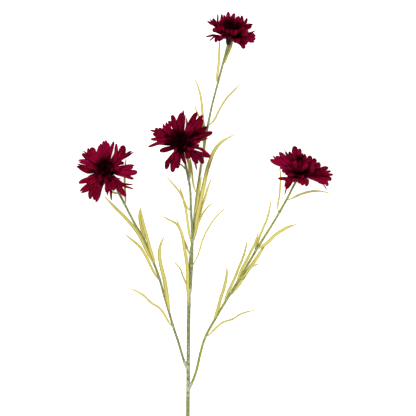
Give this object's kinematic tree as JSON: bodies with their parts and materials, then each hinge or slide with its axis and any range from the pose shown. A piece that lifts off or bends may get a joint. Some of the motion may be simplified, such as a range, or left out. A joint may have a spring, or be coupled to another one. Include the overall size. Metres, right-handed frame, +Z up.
{
  "type": "cornflower spray",
  "caption": "Cut spray of burgundy cornflowers on one branching stem with narrow strap leaves, lying on its back.",
  "frame": {"origin": "on the surface that the spray lies on, under the middle of its outline", "axes": "+Y along the main stem from its cut end to the top bloom, +Z up from the surface, +X to the right seen from above"},
  "size_m": [0.2519, 0.4341, 0.0522],
  "materials": {
    "petal": "matt, softly creased",
    "disc": "matt, near black",
    "calyx": "matt scales",
    "stem": "matt with a pale bloom",
    "leaf": "satin with fine veins"
  },
  "bodies": {
    "root": {"stem_main": "stem", "branch_left": "stem", "branch_centre": "stem", "branch_right": "stem", "petals_left": "petal", "disc_left": "disc", "calyx_left": "calyx", "petals_centre": "petal", "disc_centre": "disc", "calyx_centre": "calyx", "petals_top": "petal", "disc_top": "disc", "calyx_top": "calyx", "petals_right": "petal", "disc_right": "disc", "calyx_right": "calyx", "leaf_left_1": "leaf", "leaf_left_2": "leaf", "leaf_left_3": "leaf", "leaf_left_4": "leaf", "leaf_left_5": "leaf", "leaf_left_6": "leaf", "leaf_left_7": "leaf", "leaf_left_8": "leaf", "leaf_top_1": "leaf", "leaf_top_2": "leaf", "leaf_top_3": "leaf", "leaf_top_4": "leaf", "leaf_top_5": "leaf", "leaf_top_6": "leaf", "leaf_top_7": "leaf", "leaf_top_8": "leaf", "leaf_top_9": "leaf", "leaf_centre_1": "leaf", "leaf_centre_2": "leaf", "leaf_centre_3": "leaf", "leaf_centre_4": "leaf", "leaf_centre_5": "leaf", "leaf_centre_6": "leaf", "leaf_base_1": "leaf", "leaf_base_2": "leaf", "leaf_base_3": "leaf", "leaf_right_1": "leaf", "leaf_right_2": "leaf", "leaf_right_3": "leaf", "leaf_right_4": "leaf", "leaf_right_5": "leaf", "leaf_right_6": "leaf", "leaf_right_7": "leaf", "leaf_right_8": "leaf", "leaf_right_9": "leaf", "leaf_right_10": "leaf"}
  },
  "joints": []
}
